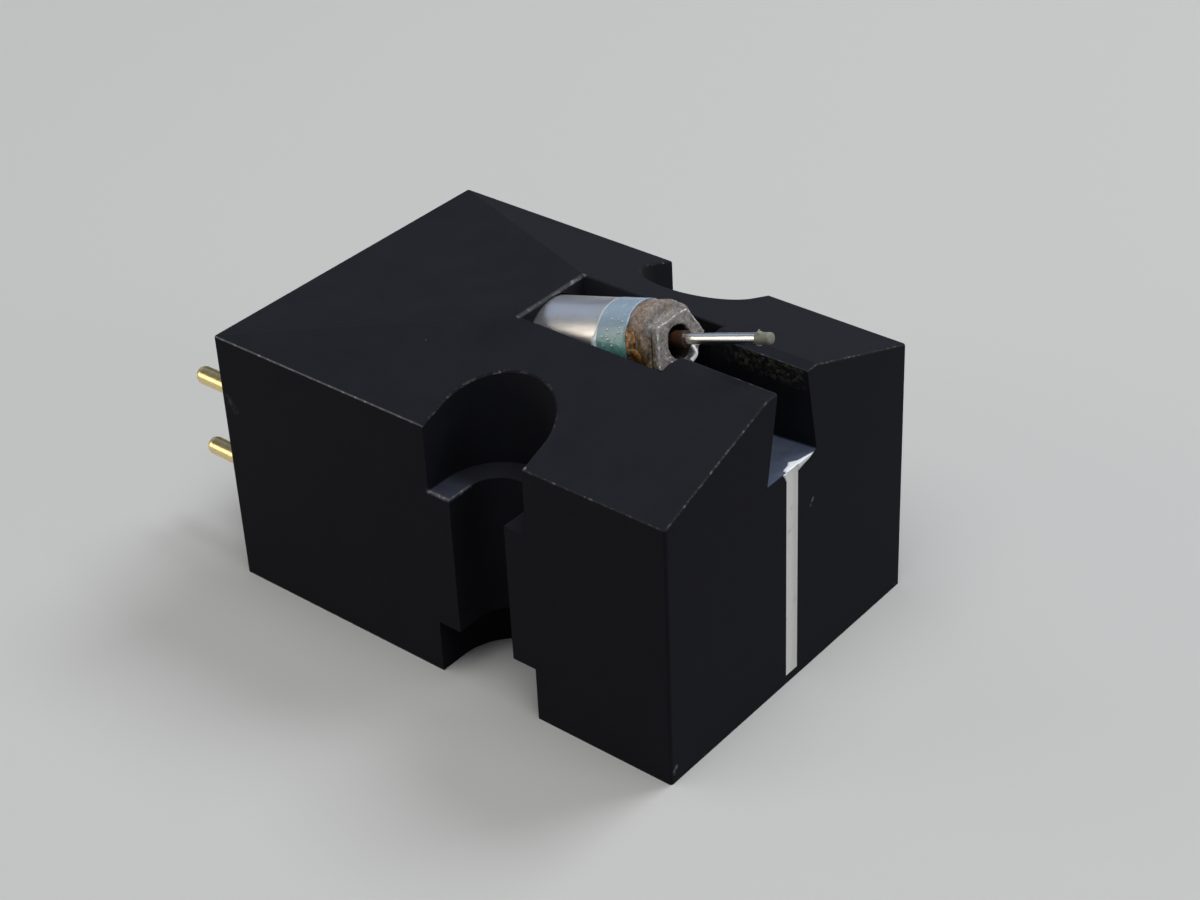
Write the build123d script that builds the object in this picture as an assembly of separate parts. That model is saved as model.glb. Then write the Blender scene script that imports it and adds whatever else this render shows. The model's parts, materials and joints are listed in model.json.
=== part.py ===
from build123d import *
import os
from math import cos, radians, sin

# A moving-coil phono cartridge, standing on its mounting face with the stylus up.
# Millimetres. +Z is up, the front looks along -Y and the terminal pins point along +Y.
# The origin lies on the mounting face, midway between the two screw slots.

# Housing
BODY_WIDTH = 15.0           # across the eaves
SIDE_DRAFT = 0.1            # each side stands out this much more at the mounting face
FRONT_REACH = 8.85          # screw line to front face
REAR_REACH = 13.55          # screw line to rear face
EAVE_HEIGHT = 11.45
RIDGE_HEIGHT = 13.57
RIDGE_WIDTH = 3.1           # flat strip along the top of the ridge
EDGE_ROUND = 0.12
RIM_BEVEL = 0.06            # where the pockets and the groove cut the roof
GROOVE_BEVEL = 0.14         # at the groove's rear end
SIDE_WALL = 1.5
REAR_WALL = 1.55
CHAMBER_TOP = 10.7
PLATE_THICKNESS = 1.2
PLATE_LEDGE = 0.6           # the plate overlaps the chamber's rim by this much
PLATE_GAP = 0.03
CUT_PAST = 1.0              # how far cuts run on past the outside
ROOF_NORMAL = 0.8           # a face that looks up at least this much belongs to the roof
NEAR = 1e-3                 # for telling edges apart

# Screw slots, stepped, one in each side
SCREW_SPACING = 12.7
SCREW_SLOT_WIDTH = 2.7
POCKET_WIDTH = 4.8
POCKET_LEDGE = 8.55         # height of the ledge that a screw head or nut bears on
RECESS_WIDTH = 4.9
RECESS_HEIGHT = 2.4
SLOT_WEB = 1.15             # wall between the slots and the chamber

# Groove along the ridge, and the throat that it ends in at the front
GROOVE_WIDTH = 3.8
GROOVE_REAR = 2.35
SHOULDER_GAP = 0.5          # from NOSE_Y to where the groove starts to narrow
SHOULDER_LENGTH = 0.12      # over which it gets as narrow as the throat
THROAT_WIDTH = 1.84
THROAT_FLOOR_WIDTH = 2.2    # inner end
MOUTH_FLOOR_WIDTH = 3.1     # front face
CHANNEL_FLOOR = 9.88

# Index line on the front
INDEX_WIDTH = 0.72
INDEX_DEPTH = 0.15
INDEX_FOOT = 0.4            # its lower end, above the mounting face

# Terminals
PIN_DIAMETER = 0.8
PIN_NECK_DIAMETER = 0.45    # inside the block
PIN_NECK_REACH = 0.1        # the neck ends this far past the rear face
PIN_INSET = 2.5             # from the housing's side to a pin
PIN_HEIGHT = 5.12           # midway between the two rows
PIN_ROW_SPACING = 3.54
PIN_REACH = 4.4             # past the rear face
PIN_TAIL = 1.4              # inside, past the terminal block
BLOCK_MARGIN = 0.95         # from a row of pins to the edge of the window
BLOCK_SIDE_MARGIN = 0.75
BLOCK_FLANGE = 0.8          # thickness of the flange behind the rear wall
BLOCK_OVERLAP = 0.9         # height of the flange past the window
BLOCK_INSET = 0.15          # its face lies this far inside the rear face
BLOCK_GAP = 0.03

# Motor. Its axis rises towards the front; stations along it are counted forward from NOSE_Y, NOSE_Z
NOSE_TILT = 19.5
NOSE_Y = -3.9
NOSE_Z = 13.66              # above the mounting face, as the stylus's height calls for
RING_FRONT = -0.15          # station of its face
RING_LENGTH = 1.3
RING_COLLAR_LENGTH = 0.83   # round, at its back
RING_COLLAR_DIAMETER = 2.94
RING_WIDTH = 2.9            # across the side corners of its six-sided front
RING_TOP_WIDTH = 1.8
RING_BOTTOM_WIDTH = 1.6
RING_TOP = 0.85             # heights above the axis
RING_SIDE = -0.45
RING_BOTTOM = -1.2
RING_HOLE = 1.34
RING_HOLE_HEIGHT = -0.12
BAND_LENGTH = 1.4
BAND_WALL = 0.06
NOSE_LENGTH = 5.25          # from the ring to the front yoke
NOSE_FRONT_DIAMETER = 3.01
NOSE_REAR_DIAMETER = 3.52
NOSE_SPIGOT = 2.4
NOSE_BORE = 2.0
NOSE_GAP = 0.06             # between the tube and its channel in the housing
YOKE_WIDTH = 6.0
YOKE_BOTTOM = -4.5          # below the axis
YOKE_SHOULDER = -0.5        # the sides slope in from here to the arch
YOKE_ARCH = 1.55            # radius of the top, about the axis
YOKE_THICKNESS = 1.4
YOKE_GAP = 0.05
MAGNET_WIDTH = 5.2
MAGNET_TOP = -1.3
MAGNET_LENGTH = 3.4
POLE_DIAMETER = 1.2
POLE_FLANGE_DIAMETER = 2.2
POLE_FLANGE_LENGTH = 0.5
PIPE_DIAMETER = 0.4
PIPE_BORE = 0.28
PIPE_INSET = 0.2            # from the back of the rear yoke
SCREW_DIAMETER = 0.8
SCREW_LENGTH = 1.6
SCREW_SLOT = 0.18
SCREW_SLOT_DEPTH = 0.35

# Moving system
ARMATURE_STATION = -2.42
ARMATURE_THICKNESS = 0.36
ARM_LENGTH = 0.78
ARM_WIDTH = 0.4
COIL_START = 0.36           # from the axis, along an arm
COIL_LENGTH = 0.38
COIL_BUILD = 0.13           # thickness of the winding
WIRE_DIAMETER = 0.14
WIRE_HOLE = 0.24            # in the armature
WIRE_TAIL = 0.25            # inside the joint pipe
WIRE_END_GAP = 0.08         # from its front end to the bush
DAMPER_DIAMETER = 1.0
DAMPER_THICKNESS = 0.55
DAMPER_GAP = 0.07           # room to swing, on both sides
BUSH_DIAMETER = 0.64
BUSH_FRONT = 0.27
CANTILEVER_DIAMETER = 0.42
CANTILEVER_WALL = 0.08
CANTILEVER_ROOT = -0.9
CANTILEVER_END = 4.25
STYLUS_STATION = 3.7
STYLUS_DIAMETER = 0.24
STYLUS_RISE = 0.37          # tip above the cantilever's centre line
STYLUS_CONE = 0.2
STYLUS_TIP_DIAMETER = 0.03
STYLUS_FOOT = 0.25          # lower end, below the centre line

# Leads from the coils to the pins
LEAD_DIAMETER = 0.14
LEAD_SIDES = 6
LEAD_RING = 0.8             # radius at which they run past the pole piece
LEAD_START_GAP = 0.5        # behind the coils
LEAD_SPREAD = 8.8           # how far apart they pass the rear yoke
LEAD_BEND = 0.5
LEAD_RUN = 1.5              # straight run into a pin
LEAD_ANGLES = {"signal": 15.0, "ground": -38.0}    # round the pole piece
LEAD_DIPS = {"signal": -0.6, "ground": -1.2}       # below the axis, beside the yokes

# Worked out from the sizes above
half_width = BODY_WIDTH / 2
roof_slope = (RIDGE_HEIGHT - EAVE_HEIGHT) / (half_width - RIDGE_WIDTH / 2)
hip_end_height = EAVE_HEIGHT + roof_slope * (half_width - GROOVE_WIDTH / 2)
hip_slope = (hip_end_height - EAVE_HEIGHT) / (REAR_REACH - GROOVE_REAR)
above_all = RIDGE_HEIGHT + CUT_PAST
chamber_half = half_width - SIDE_WALL
chamber_front = max(POCKET_WIDTH, RECESS_WIDTH) / 2 + SLOT_WEB
chamber_rear = REAR_REACH - REAR_WALL
pin_offset = half_width - PIN_INSET
window_half = pin_offset + BLOCK_SIDE_MARGIN
window_low = PIN_HEIGHT - PIN_ROW_SPACING / 2 - BLOCK_MARGIN
window_high = PIN_HEIGHT + PIN_ROW_SPACING / 2 + BLOCK_MARGIN
shoulder_rear = NOSE_Y - SHOULDER_GAP
shoulder_front = shoulder_rear - SHOULDER_LENGTH
ring_back = RING_FRONT - RING_LENGTH
seat = ring_back - NOSE_LENGTH
yoke_back = seat - YOKE_THICKNESS
magnet_back = yoke_back - MAGNET_LENGTH
motor_back = magnet_back - YOKE_THICKNESS
rear_yoke_middle = (motor_back + magnet_back) / 2
armature_front = ARMATURE_STATION + ARMATURE_THICKNESS / 2
armature_back = ARMATURE_STATION - ARMATURE_THICKNESS / 2
coil_back = armature_back - COIL_BUILD
damper_front = coil_back - DAMPER_GAP
damper_back = damper_front - DAMPER_THICKNESS
pole_front = damper_back - DAMPER_GAP
pin_tail_end = chamber_rear - BLOCK_FLANGE - PIN_TAIL

tilt = radians(NOSE_TILT)
motor = Location(Plane((0, NOSE_Y, NOSE_Z), x_dir=(1, 0, 0), z_dir=(0, -cos(tilt), sin(tilt))))
upwards = (Align.CENTER, Align.CENTER, Align.MIN)


def slab(x0, x1, y0, y1, z0, z1):
    """A block between two corners of the housing's frame."""
    return Pos(x0, y0, z0) * Box(x1 - x0, y1 - y0, z1 - z0, align=Align.MIN)


def cross_section(y, *points):
    """A face across the housing at y, from points (x, z)."""
    return Plane((0, y, 0), x_dir=(1, 0, 0), z_dir=(0, -1, 0)) * Polygon(*points, align=None)


def rod(diameter, back, front):
    """A cylinder on the motor's axis between two stations."""
    return motor * Pos(0, 0, back) * Cylinder(diameter / 2, front - back, align=upwards)


def nose_taper(grow, back, front):
    """The nose tube's outer form between two stations, with its wall grown outwards."""
    def radius(station):
        share = (ring_back - station) / NOSE_LENGTH
        return (NOSE_FRONT_DIAMETER + share * (NOSE_REAR_DIAMETER - NOSE_FRONT_DIAMETER)) / 2 + grow
    return motor * Pos(0, 0, back) * Cone(radius(back), radius(front), front - back, align=upwards)


def yoke_outline(grow):
    """The motor's section: a foot with an arch round the axis on top."""
    side = YOKE_WIDTH / 2 + grow
    foot = YOKE_BOTTOM - grow
    arch = YOKE_ARCH + grow
    trunk = Polygon((-side, foot), (side, foot), (side, YOKE_SHOULDER), (arch, 0), (-arch, 0),
                    (-side, YOKE_SHOULDER), align=None)
    return trunk + Circle(arch)


def motor_prism(outline, back, front):
    """An outline across the motor's axis, carried along it."""
    return motor * Pos(0, 0, back) * extrude(outline, amount=front - back)


def housing_form():
    """The outside of the housing: a gable at the front, a hip at the rear."""
    foot = half_width + SIDE_DRAFT
    ridge = RIDGE_WIDTH / 2
    gable = cross_section(REAR_REACH, (-foot, 0), (foot, 0), (half_width, EAVE_HEIGHT), (ridge, RIDGE_HEIGHT),
                          (-ridge, RIDGE_HEIGHT), (-half_width, EAVE_HEIGHT))
    form = extrude(gable, amount=FRONT_REACH + REAR_REACH)
    past_rear = REAR_REACH + CUT_PAST
    hip_top = REAR_REACH - (RIDGE_HEIGHT - EAVE_HEIGHT) / hip_slope
    hip_cut = Plane.YZ * Polygon((past_rear, EAVE_HEIGHT - CUT_PAST * hip_slope), (hip_top, RIDGE_HEIGHT),
                                 (hip_top, above_all), (past_rear, above_all), align=None)
    return form - extrude(hip_cut, amount=BODY_WIDTH, both=True)


def roof_rims(shell):
    """The edges where the pockets, and the groove behind its throat, cut the roof."""
    roof = shell.faces().filter_by(lambda face: face.normal_at().Z > ROOF_NORMAL)
    edges = [edge for face in roof if face.center().Z > EAVE_HEIGHT for edge in face.edges()]

    def is_rim(edge):
        box = edge.bounding_box()
        at_eave = box.max.Z < EAVE_HEIGHT + NEAR
        in_throat = box.min.Y < shoulder_front - NEAR
        shared = sum(edge.is_same(other) for other in edges) > 1
        return not (at_eave or in_throat or shared)

    return [edge for edge in edges if is_rim(edge)]


def outer_edges(shell):
    """The eaves, the uprights below them and the gable."""
    def is_outer(edge):
        box = edge.bounding_box()
        at_eave = abs(edge.center().Z - EAVE_HEIGHT) < NEAR
        upright = abs(edge.center().Z - EAVE_HEIGHT / 2) < NEAR
        on_gable = box.min.Z > EAVE_HEIGHT - NEAR and box.max.Y < NEAR - FRONT_REACH
        return at_eave or upright or on_gable

    return shell.edges().filter_by(is_outer)


def screw_opening(side, width, low, high):
    """A slot round one screw's axis, round at its inner end and open at the housing's side."""
    outline = Circle(width / 2) + Pos(side * half_width / 2, 0) * Rectangle(half_width, width)
    return Pos(side * SCREW_SPACING / 2, 0, low) * extrude(outline, amount=high - low)


def ridge_groove():
    """The groove that holds the nose tube, and the throat in front of it that widens downwards."""
    wide = GROOVE_WIDTH / 2
    narrow = THROAT_WIDTH / 2
    plan = Polygon((-wide, GROOVE_REAR), (-wide, shoulder_rear), (-narrow, shoulder_front),
                   (narrow, shoulder_front), (wide, shoulder_rear), (wide, GROOVE_REAR), align=None)
    groove = Pos(0, 0, CHANNEL_FLOOR) * extrude(plan, amount=above_all - CHANNEL_FLOOR)

    def throat_section(y, floor_width):
        floor = floor_width / 2
        return cross_section(y, (-floor, CHANNEL_FLOOR), (floor, CHANNEL_FLOOR), (narrow, RIDGE_HEIGHT),
                             (narrow, above_all), (-narrow, above_all), (-narrow, RIDGE_HEIGHT))

    inner_end = throat_section(shoulder_front, THROAT_FLOOR_WIDTH)
    mouth = throat_section(-FRONT_REACH, MOUTH_FLOOR_WIDTH)
    return groove + loft([inner_end, mouth])


def rear_bevel():
    """A wider bevel along the groove's rear end."""
    rim = hip_end_height
    wedge = Plane.YZ * Polygon((GROOVE_REAR, rim - GROOVE_BEVEL), (GROOVE_REAR, rim + GROOVE_BEVEL),
                               (GROOVE_REAR + GROOVE_BEVEL, rim - GROOVE_BEVEL * hip_slope), align=None)
    return extrude(wedge, amount=GROOVE_WIDTH / 2, both=True)


def body_shell():
    """The moulded housing."""
    shell = housing_form()
    for side in (-1, 1):
        shell -= screw_opening(side, SCREW_SLOT_WIDTH, 0, above_all)
        shell -= screw_opening(side, POCKET_WIDTH, POCKET_LEDGE, above_all)
        shell -= screw_opening(side, RECESS_WIDTH, 0, RECESS_HEIGHT)
    shell -= ridge_groove()
    shell = chamfer(roof_rims(shell), RIM_BEVEL)
    shell = fillet(outer_edges(shell), EDGE_ROUND)
    shell -= rear_bevel()
    shell -= nose_taper(NOSE_GAP, seat, ring_back)
    shell -= motor_prism(yoke_outline(YOKE_GAP), motor_back - YOKE_GAP, seat)
    shell -= slab(-chamber_half, chamber_half, chamber_front, chamber_rear, 0, CHAMBER_TOP)
    rim = chamber_half + PLATE_LEDGE
    shell -= slab(-rim, rim, chamber_front - PLATE_LEDGE, chamber_rear + PLATE_LEDGE, 0, PLATE_THICKNESS)
    shell -= slab(-window_half, window_half, chamber_rear, REAR_REACH, window_low, window_high)
    shell -= index_form()
    return shell


def index_form():
    """The shallow bar let into the front face, from near its foot up to the throat's floor."""
    half = INDEX_WIDTH / 2
    return slab(-half, half, -FRONT_REACH, INDEX_DEPTH - FRONT_REACH, INDEX_FOOT, CHANNEL_FLOOR)


def mounting_plate():
    """The cover that closes the chamber, flush with the mounting face."""
    side = chamber_half + PLATE_LEDGE - PLATE_GAP
    front = chamber_front - PLATE_LEDGE + PLATE_GAP
    rear = chamber_rear + PLATE_LEDGE - PLATE_GAP
    return slab(-side, side, front, rear, 0, PLATE_THICKNESS)


def pin_places():
    """Name and place (x, z) of each terminal pin."""
    for side_name, side in (("left", -1), ("right", 1)):
        for pole_name, row in (("signal", 1), ("ground", -1)):
            yield f"{side_name}_{pole_name}", side * pin_offset, PIN_HEIGHT + row * PIN_ROW_SPACING / 2


def terminal_pin(x, z):
    """A turned pin along +Y: a neck through the block, then a thicker shank with a round nose."""
    radius = PIN_DIAMETER / 2
    neck_length = REAR_REACH + PIN_NECK_REACH - pin_tail_end
    shank_length = PIN_REACH - PIN_NECK_REACH - radius
    neck = Cylinder(PIN_NECK_DIAMETER / 2, neck_length, align=upwards)
    shank = Cylinder(radius, shank_length, align=upwards) + Pos(0, 0, shank_length) * Sphere(radius)
    return Pos(x, pin_tail_end, z) * Rot(-90, 0, 0) * (neck + Pos(0, 0, neck_length) * shank)


def terminal_block():
    """The insulator: a flange behind the rear wall and a boss that fills its window."""
    flange_half = chamber_half - BLOCK_GAP
    flange = slab(-flange_half, flange_half, chamber_rear - BLOCK_FLANGE, chamber_rear,
                  PLATE_THICKNESS, window_high + BLOCK_OVERLAP)
    boss_half = window_half - BLOCK_GAP
    boss = slab(-boss_half, boss_half, chamber_rear, REAR_REACH - BLOCK_INSET,
                window_low + BLOCK_GAP, window_high - BLOCK_GAP)
    block = flange + boss
    for _, x, z in pin_places():
        block -= terminal_pin(x, z)
    return block


def nose_tube():
    """The tapered pole tube, with a spigot that seats in the front yoke."""
    tube = nose_taper(0, seat, ring_back) + rod(NOSE_SPIGOT, yoke_back, seat)
    return tube - rod(NOSE_BORE, yoke_back, ring_back)


def seal_band():
    """The film wound round the front of the tube."""
    back = ring_back - BAND_LENGTH
    return nose_taper(BAND_WALL, back, ring_back) - nose_taper(0, back, ring_back)


def pole_ring():
    """The ring that closes the tube round the cantilever: a collar with a six-sided front."""
    top = RING_TOP_WIDTH / 2
    side = RING_WIDTH / 2
    bottom = RING_BOTTOM_WIDTH / 2
    nut = Polygon((-top, RING_TOP), (-side, RING_SIDE), (-bottom, RING_BOTTOM), (bottom, RING_BOTTOM),
                  (side, RING_SIDE), (top, RING_TOP), align=None)
    hole = Pos(0, RING_HOLE_HEIGHT) * Circle(RING_HOLE / 2)
    collar = Circle(RING_COLLAR_DIAMETER / 2) - hole
    collar_front = ring_back + RING_COLLAR_LENGTH
    return motor_prism(collar, ring_back, collar_front) + motor_prism(nut - hole, collar_front, RING_FRONT)


def front_yoke():
    return motor_prism(yoke_outline(0), yoke_back, seat) - rod(NOSE_SPIGOT, yoke_back, seat)


def magnet():
    bar = Pos(0, (YOKE_BOTTOM + MAGNET_TOP) / 2) * Rectangle(MAGNET_WIDTH, MAGNET_TOP - YOKE_BOTTOM)
    return motor_prism(bar, magnet_back, yoke_back)


def clamp_hole(low, high):
    """A round hole or screw blank across the rear yoke, from below up to the joint pipe."""
    bar = Cylinder(SCREW_DIAMETER / 2, high - low, align=upwards)
    return motor * Pos(0, low, rear_yoke_middle) * Rot(-90, 0, 0) * bar


def rear_yoke():
    plate = motor_prism(yoke_outline(0), motor_back, magnet_back)
    return plate - rod(PIPE_DIAMETER, motor_back, magnet_back) - clamp_hole(YOKE_BOTTOM, -PIPE_DIAMETER / 2)


def set_screw():
    """The slotted grub screw that bears on the joint pipe."""
    top = -PIPE_DIAMETER / 2
    low = top - SCREW_LENGTH
    slot = Box(SCREW_DIAMETER, SCREW_SLOT_DEPTH, SCREW_SLOT, align=(Align.CENTER, Align.MIN, Align.CENTER))
    return clamp_hole(low, top) - motor * Pos(0, low, rear_yoke_middle) * slot


def pole_piece():
    """The core: a flange on the rear yoke and a shaft that runs forward into the nose tube."""
    flange = rod(POLE_FLANGE_DIAMETER, magnet_back, magnet_back + POLE_FLANGE_LENGTH)
    return flange + rod(POLE_DIAMETER, magnet_back, pole_front) - rod(PIPE_DIAMETER, magnet_back, pole_front)


def joint_pipe():
    back = motor_back + PIPE_INSET
    return rod(PIPE_DIAMETER, back, pole_front) - rod(PIPE_BORE, back, pole_front)


def suspension_wire():
    return rod(WIRE_DIAMETER, pole_front - WIRE_TAIL, armature_front - WIRE_END_GAP)


def damper():
    return rod(DAMPER_DIAMETER, damper_back, damper_front) - rod(WIRE_DIAMETER, damper_back, damper_front)


def armature():
    """The iron cross. Its arms lie at 45 degrees, one pair for each channel."""
    cross = Rectangle(2 * ARM_LENGTH, ARM_WIDTH) + Rectangle(ARM_WIDTH, 2 * ARM_LENGTH)
    outline = Rot(0, 0, 45) * cross - Circle(WIRE_HOLE / 2)
    return motor_prism(outline, armature_back, armature_front)


def coil(turn):
    """Two windings in line, one on each arm of a pair."""
    width = ARM_WIDTH + 2 * COIL_BUILD
    depth = ARMATURE_THICKNESS + 2 * COIL_BUILD
    core = Box(COIL_LENGTH, ARM_WIDTH, ARMATURE_THICKNESS)
    winding = fillet(Box(COIL_LENGTH, width, depth).edges().filter_by(Axis.X), COIL_BUILD) - core
    place = COIL_START + COIL_LENGTH / 2
    pair = Pos(place, 0, 0) * winding + Pos(-place, 0, 0) * winding
    return motor * Pos(0, 0, ARMATURE_STATION) * Rot(0, 0, turn) * pair


def cantilever_bush():
    """The collar that joins the cantilever to the armature."""
    collar = rod(BUSH_DIAMETER, armature_front, BUSH_FRONT)
    return collar - rod(CANTILEVER_DIAMETER, CANTILEVER_ROOT, BUSH_FRONT)


def stylus():
    """The diamond: a round shank through the cantilever, square to the mounting face, and a cone."""
    centre = motor * Pos(0, 0, STYLUS_STATION)
    shank_length = STYLUS_FOOT + STYLUS_RISE - STYLUS_CONE
    shank = Cylinder(STYLUS_DIAMETER / 2, shank_length, align=upwards)
    point = Cone(STYLUS_DIAMETER / 2, STYLUS_TIP_DIAMETER / 2, STYLUS_CONE, align=upwards)
    return Pos(centre.position) * Pos(0, 0, -STYLUS_FOOT) * (shank + Pos(0, 0, shank_length) * point)


def cantilever():
    """The drawn tube, pierced for the diamond."""
    bore = CANTILEVER_DIAMETER - 2 * CANTILEVER_WALL
    tube = rod(CANTILEVER_DIAMETER, CANTILEVER_ROOT, CANTILEVER_END)
    return tube - rod(bore, CANTILEVER_ROOT, CANTILEVER_END) - stylus()


def coil_lead(x, z, angle, dip):
    """One lead: back past the pole piece, out between the yokes, and round the rear yoke to its pin."""
    side = 1 if x > 0 else -1
    inward = (side * LEAD_RING * cos(radians(angle)), LEAD_RING * sin(radians(angle)))
    between_yokes = (yoke_back + magnet_back) / 2
    start = (motor * Pos(*inward, coil_back - LEAD_START_GAP)).position
    turn = (motor * Pos(*inward, between_yokes)).position
    beside = (motor * Pos(side * LEAD_SPREAD / 2, dip, between_yokes)).position
    run_start = (x, pin_tail_end - LEAD_RUN, z)
    path = FilletPolyline(start, turn, beside, run_start, (x, pin_tail_end, z), radius=LEAD_BEND)
    return sweep(Plane(path @ 0, z_dir=path % 0) * RegularPolygon(LEAD_DIAMETER / 2, LEAD_SIDES), path=path)


parts = {
    "body_shell": body_shell(),
    "mounting_plate": mounting_plate(),
    "index_line": index_form(),
    "terminal_block": terminal_block(),
    "nose_tube": nose_tube(),
    "seal_band": seal_band(),
    "pole_ring": pole_ring(),
    "front_yoke": front_yoke(),
    "magnet": magnet(),
    "rear_yoke": rear_yoke(),
    "pole_piece": pole_piece(),
    "joint_pipe": joint_pipe(),
    "set_screw": set_screw(),
    "suspension_wire": suspension_wire(),
    "damper": damper(),
    "armature": armature(),
    "coil_left": coil(45),
    "coil_right": coil(-45),
    "cantilever_bush": cantilever_bush(),
    "cantilever": cantilever(),
    "stylus": stylus(),
}
for name, x, z in pin_places():
    parts[f"pin_{name}"] = terminal_pin(x, z)
    pole = name.split("_")[1]
    parts[f"lead_{name}"] = coil_lead(x, z, LEAD_ANGLES[pole], LEAD_DIPS[pole])

os.makedirs("parts", exist_ok=True)
for name, solid in parts.items():
    export_step(solid, f"parts/{name}.step")
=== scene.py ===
import json
from math import atan2, cos, exp, pi, radians, sin

import bmesh
import bpy
from mathutils import Matrix, Vector, noise


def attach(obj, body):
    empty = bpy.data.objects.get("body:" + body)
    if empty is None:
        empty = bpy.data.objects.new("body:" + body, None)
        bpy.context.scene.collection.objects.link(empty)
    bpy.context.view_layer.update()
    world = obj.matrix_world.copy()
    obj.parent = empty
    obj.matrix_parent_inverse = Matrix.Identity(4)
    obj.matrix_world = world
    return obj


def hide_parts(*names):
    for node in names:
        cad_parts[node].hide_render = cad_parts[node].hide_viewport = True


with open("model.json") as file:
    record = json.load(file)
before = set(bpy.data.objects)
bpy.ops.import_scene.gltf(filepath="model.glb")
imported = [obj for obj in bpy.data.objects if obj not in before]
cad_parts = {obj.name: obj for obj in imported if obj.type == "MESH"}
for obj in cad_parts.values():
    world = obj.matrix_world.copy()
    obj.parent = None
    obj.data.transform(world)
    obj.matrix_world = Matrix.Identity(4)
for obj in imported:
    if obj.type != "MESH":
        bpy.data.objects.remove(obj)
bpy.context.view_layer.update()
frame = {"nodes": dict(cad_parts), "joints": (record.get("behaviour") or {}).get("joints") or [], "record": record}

# Lengths are in millimetres; those of the lamps, the floor and the camera's clipping are in metres
MM = 0.001
PER_METRE = 1000

# Housing, as the solid has it
HALF_WIDTH = 7.5
FOOT_HALF_WIDTH = 7.6
FRONT = -8.85
REAR = 13.55
EAVE_HEIGHT = 11.45
RIDGE_HEIGHT = 13.57
RIDGE_HALF_WIDTH = 1.55
ROOF_SLOPE = (RIDGE_HEIGHT - EAVE_HEIGHT) / (HALF_WIDTH - RIDGE_HALF_WIDTH)
SCREW_X = 6.35
POCKET_RADIUS = 2.4
POCKET_LEDGE = 8.55
SLOT_HALF_WIDTH = 1.35
GROOVE_HALF_WIDTH = 1.9
GROOVE_HEIGHT = EAVE_HEIGHT + ROOF_SLOPE * (HALF_WIDTH - GROOVE_HALF_WIDTH)
GROOVE_REAR = 2.35
SHOULDER_REAR = -4.4
SHOULDER_FRONT = -4.52
THROAT_HALF_WIDTH = 0.92
MOUTH_HALF_WIDTH = 1.55
CHANNEL_FLOOR = 9.88
INDEX_HALF_WIDTH = 0.36

# Nose, in the motor's own frame: x across, y up, z forward
PIVOT_STATION = -2.66
RING_FRONT = -0.15
RING_BACK = -1.45
COLLAR_FRONT = -0.62
COLLAR_RADIUS = 1.47
NUT_CORNERS = [(-0.9, 0.85), (-1.4, -0.6), (-0.75, -1.2), (0.6, -0.95), (1.38, -0.3), (0.9, 0.85)]
NUT_SIDES = list(zip(NUT_CORNERS, NUT_CORNERS[1:] + NUT_CORNERS[:1]))
RING_HOLE_RADIUS = 0.67
RING_HOLE_HEIGHT = -0.12
BAND_LENGTH = 1.4
BAND_WALL = 0.06
BAND_REAR = RING_BACK - BAND_LENGTH
TUBE_FRONT_RADIUS = 1.505
TUBE_TAPER = 0.255 / 5.25
STYLUS_STATION = 3.7
CANTILEVER_END = 4.25

JOIN_DISTANCE = 1e-5

# Camera
CAMERA_AZIMUTH = radians(-49.293)
CAMERA_ELEVATION = radians(33.831)
CAMERA_ROLL = radians(-2.922)
CAMERA_PLACE = (-57.19, -48.88, 57.67)
CAMERA_LENS = 69.54

X_AXIS = Vector((1, 0, 0))
Z_AXIS = Vector((0, 0, 1))
joints = {joint["name"]: joint for joint in frame["joints"]}
motor_up = Vector(joints["stylus_lateral"]["axis"])
motor_forward = X_AXIS.cross(motor_up)
motor_origin = Vector(joints["stylus_lateral"]["pos_m"]) / MM - PIVOT_STATION * motor_forward
part_frame = Matrix.Scale(MM, 4)
motor_turn = Matrix((X_AXIS, motor_up, motor_forward)).transposed().to_4x4()
motor_frame = part_frame @ Matrix.Translation(motor_origin) @ motor_turn


# Shader building

class Value:
    """A shader socket that can stand in a Python expression."""

    def __init__(self, finish, socket):
        self.finish = finish
        self.socket = socket

    def __add__(self, other):
        return self.finish.math("ADD", self, other)

    def __radd__(self, other):
        return self.finish.math("ADD", other, self)

    def __sub__(self, other):
        return self.finish.math("SUBTRACT", self, other)

    def __rsub__(self, other):
        return self.finish.math("SUBTRACT", other, self)

    def __mul__(self, other):
        return self.finish.math("MULTIPLY", self, other)

    def __rmul__(self, other):
        return self.finish.math("MULTIPLY", other, self)

    def __abs__(self):
        return self.finish.math("ABSOLUTE", self)


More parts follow.
